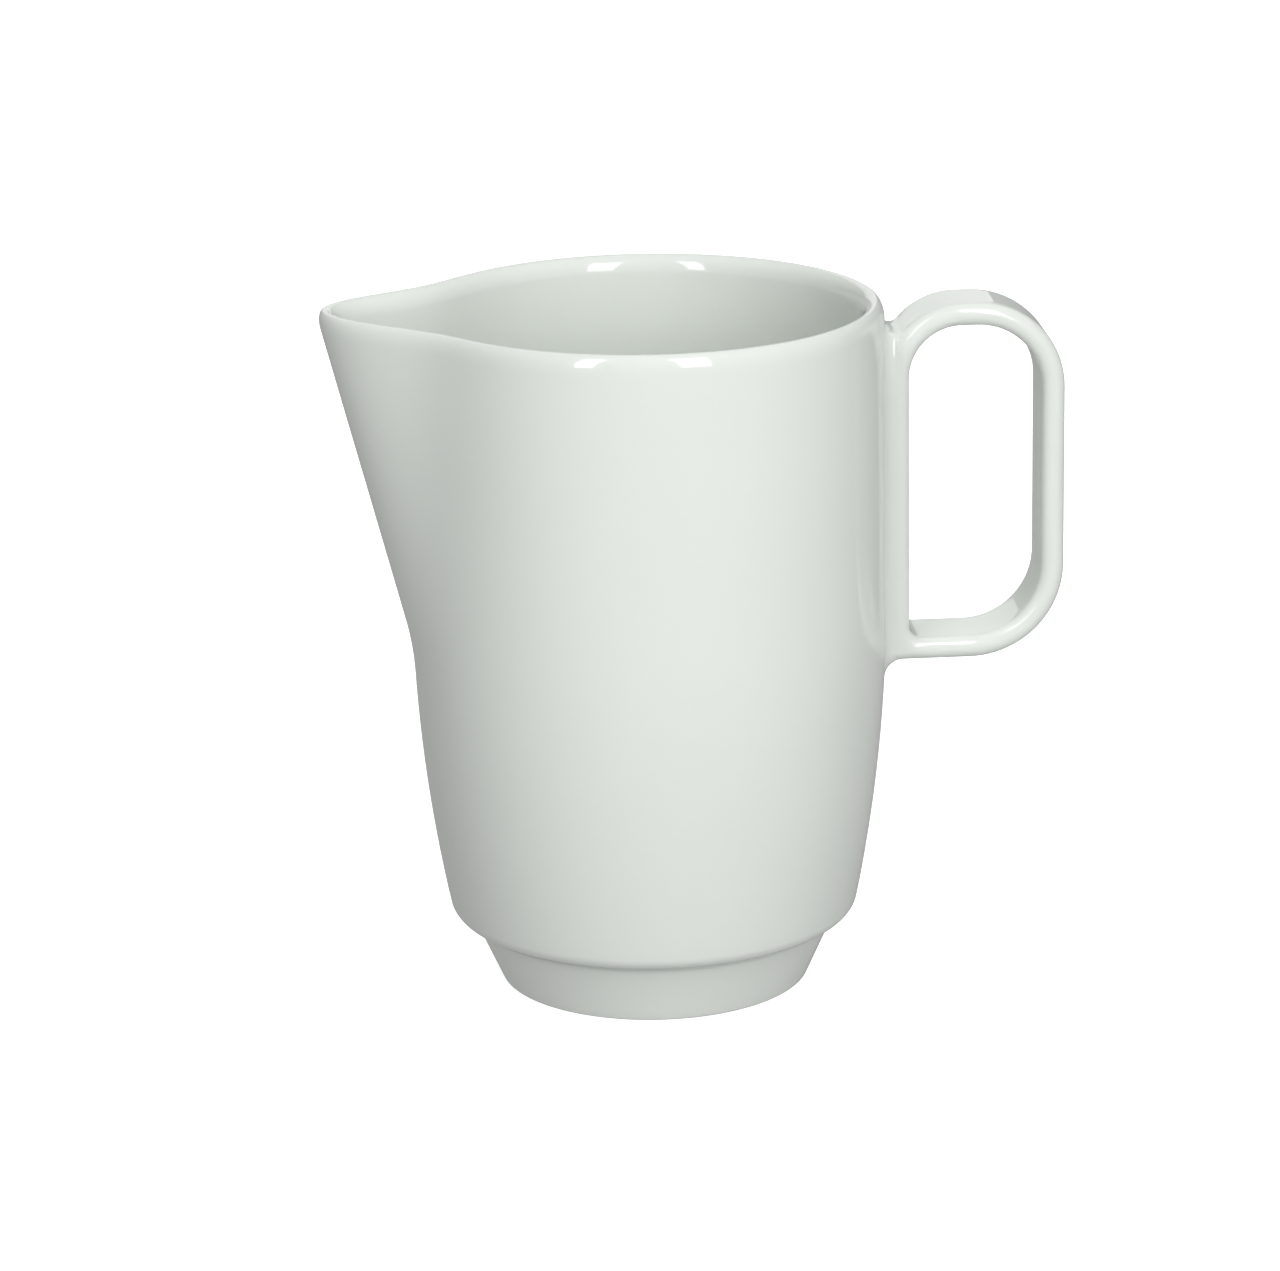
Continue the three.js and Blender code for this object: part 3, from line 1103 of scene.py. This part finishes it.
    def build(self, glaze: bpy.types.Material) -> bpy.types.Object:
        """Makes the handle.

        Args:
            glaze: The glaze over it.

        Returns:
            The handle.
        """
        places, ways = self._stations()
        offsets, anchors = self._section()
        stations, parts = len(places), len(offsets)
        depths = [self._depth(place, way) for place, way in zip(places, ways)]
        path = np.column_stack([places[:, 0] + self.body.axis, np.zeros(stations), places[:, 1]])
        flat = np.column_stack([offsets, np.zeros(parts)])
        outward = np.column_stack([ways[:, 0], np.zeros(stations), ways[:, 1]])
        marks = {
            Mark.OUTWARD: np.concatenate([outward, np.zeros((parts, 3))]),
            Mark.DEPTH: np.concatenate([depths, np.zeros(parts)]),
            Mark.ANCHOR: np.concatenate([np.zeros(stations), anchors]),
        }
        inputs = {
            "Columns": parts + 1,
            "Rows": stations + 1,
            "Stations": stations,
            "Section Points": parts,
            "Finish": glaze,
        }
        start = point_mesh("strap_start", np.concatenate([path, flat]), marks)
        mesh = SkinTree("strap_handle_tree").run(start, inputs, self._lay)
        mesh.name = "strap_handle"
        mark_pooling_and_edge_shade(mesh)
        return link_object("strap_handle", mesh)


# ---------------------------------------------------------------------------------------------
# Joint


@dataclass(frozen=True)
class LutingBead:
    """The bead of slip sponged into the corner between the wall and the handle, all the way round.

    It is the hollow that a ball leaves as it rolls along the corner and touches both, so that the
    wall runs into the strap with no edge.
    """

    body: JugBody
    handle: StrapHandle
    side_round: float = 5.5 * MM
    low_round: float = 4.5 * MM
    top_round: float = 2.6 * MM
    fade: float = 9 * MM
    side_stations: int = 60
    end_stations: int = 80
    arc_steps: int = 14
    lap: float = 0.3 * MM
    sink: float = 0.02 * MM
    buried: float = 0.9 * MM
    deepest: float = 4 * MM
    top_margin: float = 3 * MM
    top_turn: float = math.radians(50)
    furthest: float = 32 * MM
    halvings: int = 50
    flattest: float = 0.9999

    def _off_wall(self, p: np.ndarray) -> np.ndarray:
        """Distance of points from the outside of the wall."""
        return np.hypot(p[:, 0], p[:, 1]) - self.body.radius(p[:, 2])

    def _off_handle(self, p: np.ndarray) -> np.ndarray:
        """Distance of points from the handle, seen as filled in down to the wall.

        Args:
            p: The points, measured from the jug's axis.

        Returns:
            The distances, negative inside.
        """
        handle = self.handle
        (bend_x, bend_z), bend, edge = handle.bend_centre, handle.bend_round, handle.edge_round
        x, z = p[:, 0], p[:, 2]
        from_bend = np.hypot(np.minimum(x - bend_x, 0), z - bend_z)
        limb = bend_x - x - bend - (bend_z - z)
        outer = np.maximum(np.where(z > bend_z, from_bend - bend, limb), handle.bottom - z)
        # The finger hole: its straight side, and its two rounded corners beside the wall.
        low_bend = handle.low_inner_round
        low_z = handle.bottom + handle.thickness + low_bend
        low_x = handle.limb_face + low_bend
        upper = handle.top_inner_round - from_bend
        lower = low_bend - np.hypot(np.minimum(x - low_x, 0), np.minimum(z - low_z, 0))
        side = x - handle.limb_face
        hole = np.where(z > bend_z, upper, np.where(z < low_z, lower, side))
        flat = np.maximum(outer, hole)
        across = np.abs(p[:, 1]) - handle.width / 2
        out_flat, out_across = flat + edge, across + edge
        outside = np.hypot(np.maximum(out_flat, 0), np.maximum(out_across, 0))
        return outside + np.minimum(np.maximum(out_flat, out_across), 0) - edge

    @staticmethod
    def _way_off(distance: Callable[[np.ndarray], np.ndarray], p: np.ndarray) -> np.ndarray:
        """The unit direction in which a distance grows, at each point."""
        steps = np.eye(3) * TINY
        way = np.column_stack([distance(p + s) - distance(p - s) for s in steps])
        return way / np.linalg.norm(way, axis=1, keepdims=True)

    def _rays(self) -> tuple[np.ndarray, np.ndarray, np.ndarray]:
        """Rays from the middle of the joint outwards over the wall, once round.

        Returns:
            For each ray its start height, its direction across and up, and the ball's radius.
        """
        handle = self.handle
        low = handle.bottom + handle.width / 2
        high = handle.bend_centre[1] - self.top_margin
        climb = np.linspace(low, high, self.side_stations, endpoint=False)
        turn = np.linspace(0, math.pi, self.end_stations, endpoint=False)
        heights = np.concatenate([climb, turn * 0 + high, low + high - climb, turn * 0 + low])
        angles = np.concatenate([climb * 0, turn, climb * 0 + math.pi, math.pi + turn])
        up = np.sin(angles)
        to_top = self._ease(up / math.sin(self.top_turn))
        near_low = self._ease((low + self.fade - heights) / self.fade)
        to_low = np.where(heights > low + self.fade, 0, near_low)
        balls = self.side_round + (self.low_round - self.side_round) * to_low
        balls = np.where(up > TINY, balls + (self.top_round - balls) * to_top, balls)
        return heights, np.column_stack([np.cos(angles), up]), balls

    @staticmethod
    def _ease(share: np.ndarray) -> np.ndarray:
        """A share from 0 to 1 with soft ends."""
        share = np.clip(share, 0, 1)
        return share * share * (3 - 2 * share)

    def _centres(self) -> tuple[np.ndarray, np.ndarray]:
        """Where the rolling ball touches both the wall and the handle, for each ray.

        Returns:
            The ball's centres and its radii.
        """
        heights, ways, balls = self._rays()

        def place(distance: np.ndarray) -> np.ndarray:
            """Points that far along the rays, a ball's radius off the wall."""
            y = ways[:, 0] * distance
            z = heights + ways[:, 1] * distance
            x = np.sqrt((self.body.radius(z) + balls) ** 2 - y**2)
            return np.column_stack([x, y, z])

        near, far = np.zeros_like(balls), np.full_like(balls, self.furthest)
        for _ in range(self.halvings):
            middle = (near + far) / 2
            is_inside = self._off_handle(place(middle)) < balls
            near, far = np.where(is_inside, middle, near), np.where(is_inside, far, middle)
        return place((near + far) / 2), balls

    def build(self, glaze: bpy.types.Material) -> bpy.types.Object:
        """Makes the bead.

        Args:
            glaze: The glaze over it.

        Returns:
            The bead.
        """
        centre, balls = self._centres()
        ball = balls[:, None]
        off_wall = self._way_off(self._off_wall, centre)
        off_handle = self._way_off(self._off_handle, centre)
        cosine = np.einsum("ij,ij->i", off_wall, off_handle)[:, None]
        span = np.arccos(np.clip(cosine, -self.flattest, self.flattest))
        along_wall = (off_handle - cosine * off_wall) / np.sin(span)
        along_handle = (off_wall - cosine * off_handle) / np.sin(span)
        rows = []
        for share in np.linspace(0, 1, self.arc_steps + 1):
            way = np.sin((1 - share) * span) * off_wall + np.sin(share * span) * off_handle
            rows.append(centre - ball * way / np.sin(span))
        laps = (
            (0, off_wall, along_wall, self._off_wall),
            (-1, off_handle, along_handle, self._off_handle),
        )
        first, last = (
            self._lap(rows[end] + self.lap * along, away, distance)
            for end, away, along, distance in laps
        )
        inwards = off_wall + off_handle
        inwards /= np.linalg.norm(inwards, axis=1, keepdims=True)
        reach = np.minimum((ball + self.buried) / np.cos(span / 2), ball + self.deepest)
        rows = [
            first,
            *rows,
            last,
            last - self.buried * off_handle,
            centre - reach * inwards,
            first - self.buried * off_wall,
        ]
        # The rows run backwards, so that the faces look outwards.
        skin = np.stack(rows[::-1], axis=1) + (self.body.axis, 0, 0)
        mesh = bpy.data.meshes.new("luting_bead")
        mesh.from_pydata(skin.reshape(-1, 3).tolist(), [], ring_faces(len(centre), len(rows)))
        mesh.shade_smooth()
        mesh.materials.append(glaze)
        mark_pooling_and_edge_shade(mesh)
        return link_object("luting_bead", mesh)

    def _lap(
        self, p: np.ndarray, away: np.ndarray, distance: Callable[[np.ndarray], np.ndarray]
    ) -> np.ndarray:
        """Points just past the bead's edge, sunk a little below the face that they lap onto."""
        return p - away * (distance(p) + self.sink)[:, None]


# ---------------------------------------------------------------------------------------------
# Studio


@dataclass(frozen=True)
class Softbox:
    """A flat lamp behind a diffuser, aimed at the jug."""

    name: str
    azimuth: float
    elevation: float
    distance: float
    width: float
    height: float
    power: float
    is_mirrored: bool = True
    colour: str = "#FFFFFF"

    def build(self, target: Vector) -> bpy.types.Object:
        """Hangs the softbox.

        Args:
            target: The point that it is aimed at.

        Returns:
            The light.
        """
        data = bpy.data.lights.new(self.name, "AREA")
        data.shape = "RECTANGLE"
        data.size, data.size_y = self.width, self.height
        data.energy = self.power
        data.color = linear(self.colour)[:3]
        light = bpy.data.objects.new(self.name, data)
        back = direction(self.azimuth, self.elevation)
        light.location = target + back * self.distance
        light.rotation_mode = "QUATERNION"
        light.rotation_quaternion = (-back).to_track_quat("-Z", "Y")
        light.visible_camera = False
        light.visible_glossy = self.is_mirrored
        bpy.context.scene.collection.objects.link(light)
        return light


def direction(azimuth: float, elevation: float) -> Vector:
    """The unit way from the jug to a place: azimuth 0 is in front, 90 at the handle's side."""
    a, e = math.radians(azimuth), math.radians(elevation)
    return Vector((math.sin(a) * math.cos(e), -math.cos(a) * math.cos(e), math.sin(e)))


@dataclass(frozen=True)
class Studio:
    """Camera, paper floor and soft light."""

    target: Vector
    azimuth: float = -4.253
    elevation: float = 16.586
    distance: float = 1.126354
    roll: float = -0.938
    sensor: float = 36
    lens: float = 137.186
    shift: tuple[float, float] = (-0.0077, 0.0042)
    clip: tuple[float, float] = (0.01, 100)
    floor_radius: float = 3.0
    cove_round: float = 1.2
    cove_height: float = 3.4
    paper_sides: int = 96
    air_colour: str = "#FFFFFF"
    air_above: float = 0.12
    air_below: float = 0.41
    horizon_blend: float = 0.35
    # Name, azimuth, elevation, distance, width, height, watts, and if the glaze mirrors it.
    softboxes: tuple[Softbox, ...] = (
        Softbox("softbox_left", -33, 32, 1.5, 0.24, 1.1, 6.0),
        Softbox("softbox_right", 19.5, 32, 1.5, 0.38, 1.1, 9.4),
        Softbox("back_light", 180, 50, 2.0, 2.0, 1.2, 15.0, False),
        Softbox("backdrop_glow", 180, 20, 2.3, 1.2, 1.0, 2.8),
        Softbox("top_light", 0, 88, 2.2, 1.0, 1.0, 9.0, False),
        Softbox("side_fill", 40, 15, 2.0, 1.0, 1.0, 6.0, False),
        Softbox("front_fill", 0, 8, 2.2, 1.6, 0.5, 7.0, False),
    )

    def build(self, paper: bpy.types.Material) -> None:
        """Sets up the camera, the floor and the light.

        Args:
            paper: The floor's material.
        """
        self._camera()
        self._floor(paper)
        for softbox in self.softboxes:
            softbox.build(self.target)
        scene = bpy.context.scene
        scene.world = self._air()
        scene.view_settings.view_transform = "Standard"
        scene.view_settings.look = "None"

    def _air(self) -> bpy.types.World:
        """The even light of the room, brighter from below, where the paper throws it back.

        Returns:
            The world.
        """
        world = bpy.data.worlds.new("studio_air")
        world.use_nodes = True
        tree = world.node_tree
        tree.nodes.clear()
        way = add_node(tree, "ShaderNodeTexCoord").outputs["Generated"]
        height = add_node(tree, "ShaderNodeSeparateXYZ", inputs={0: way}).outputs["Z"]
        strength = add_node(
            tree,
            "ShaderNodeMapRange",
            {"interpolation_type": "SMOOTHSTEP"},
            {
                "Value": height,
                "From Min": -self.horizon_blend,
                "From Max": self.horizon_blend,
                "To Min": self.air_below,
                "To Max": self.air_above,
            },
        )
        air = add_node(
            tree,
            "ShaderNodeBackground",
            inputs={"Color": linear(self.air_colour), "Strength": strength.outputs["Result"]},
        )
        add_node(tree, "ShaderNodeOutputWorld", inputs={"Surface": air.outputs["Background"]})
        return world

    def _camera(self) -> None:
        """Places the camera and makes it the scene's."""
        data = bpy.data.cameras.new("camera")
        data.sensor_width = self.sensor
        data.lens = self.lens
        data.shift_x, data.shift_y = self.shift
        data.clip_start, data.clip_end = self.clip
        back = direction(self.azimuth, self.elevation)
        right = Vector((0, 0, 1)).cross(back).normalized()
        up = back.cross(right)
        c, s = math.cos(math.radians(self.roll)), math.sin(math.radians(self.roll))
        axes = (right * c + up * s, up * c - right * s, back)
        camera = bpy.data.objects.new("camera", data)
        camera.matrix_world = (
            Matrix.Translation(self.target + back * self.distance)
            @ Matrix(axes).transposed().to_4x4()
        )
        bpy.context.scene.collection.objects.link(camera)
        bpy.context.scene.camera = camera

    def _floor(self, paper: bpy.types.Material) -> None:
        """Lays the paper that the jug stands on, and curves it up all round, far behind the jug.

        Args:
            paper: The paper's material.
        """
        turn = np.linspace(0, math.pi / 2, 13)
        rise = [
            (self.floor_radius + self.cove_round * math.sin(t), self.cove_round * (1 - math.cos(t)))
            for t in turn
        ]
        floor = self._turned("paper_floor", [(0.0, 0.0), (self.floor_radius, 0.0)], paper)
        cove = self._turned("paper_cove", [*rise, (rise[-1][0], self.cove_height)], paper)
        # The paper only shows round the jug: the air stands in for the light that it throws back,
        # so its white neither washes out the shading of the wall nor shows in the glaze.
        floor.visible_diffuse = cove.visible_diffuse = False
        floor.visible_glossy = cove.visible_glossy = False
        cove.visible_shadow = False

    def _turned(
        self, name: str, profile: Sequence[tuple[float, float]], paper: bpy.types.Material
    ) -> bpy.types.Object:
        """A sheet of paper turned about the jug.

        Args:
            name: The sheet's name.
            profile: Its radii and heights, from the inside out.
            paper: Its material.

        Returns:
            The sheet.
        """
        sides = self.paper_sides
        angles = np.arange(sides) * 2 * math.pi / sides
        rings = [
            np.column_stack([np.cos(angles) * r, np.sin(angles) * r, angles * 0 + z])
            for r, z in profile
        ]
        starts = [ring * sides for ring in range(len(profile))]
        faces = [
            (outer + i, outer + (i + 1) % sides, inner + (i + 1) % sides, inner + i)
            for inner, outer in zip(starts, starts[1:])
            for i in range(sides)
        ]
        mesh = bpy.data.meshes.new(name)
        mesh.from_pydata(np.concatenate(rings).tolist(), [], faces)
        mesh.shade_smooth()
        mesh.materials.append(paper)
        return link_object(name, mesh)


# ---------------------------------------------------------------------------------------------


def hand_over(piece: bpy.types.Object, node: str) -> None:
    """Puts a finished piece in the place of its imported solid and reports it.

    Args:
        piece: The finished piece.
        node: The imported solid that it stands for.
    """
    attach(piece, BODY)
    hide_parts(node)
    LOG.info("%s: %d faces", piece.name, len(piece.data.polygons))


def main() -> None:
    """Builds the pitcher, dresses it and lights it."""
    logging.basicConfig(level=logging.INFO, format="%(name)s: %(message)s")
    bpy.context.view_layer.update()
    glaze = GlazedPorcelain().make()
    body = JugBody.from_frame()
    handle = StrapHandle.from_frame(body)
    hand_over(body.build(glaze, BarePorcelain().make()), "body")
    hand_over(handle.build(glaze), "handle")
    hand_over(LutingBead(body, handle).build(glaze), "luting_slip")
    Studio(Vector((body.axis, 0, body.rim_height / 2))).build(StudioPaper().make())


if __name__ == "__main__":
    main()
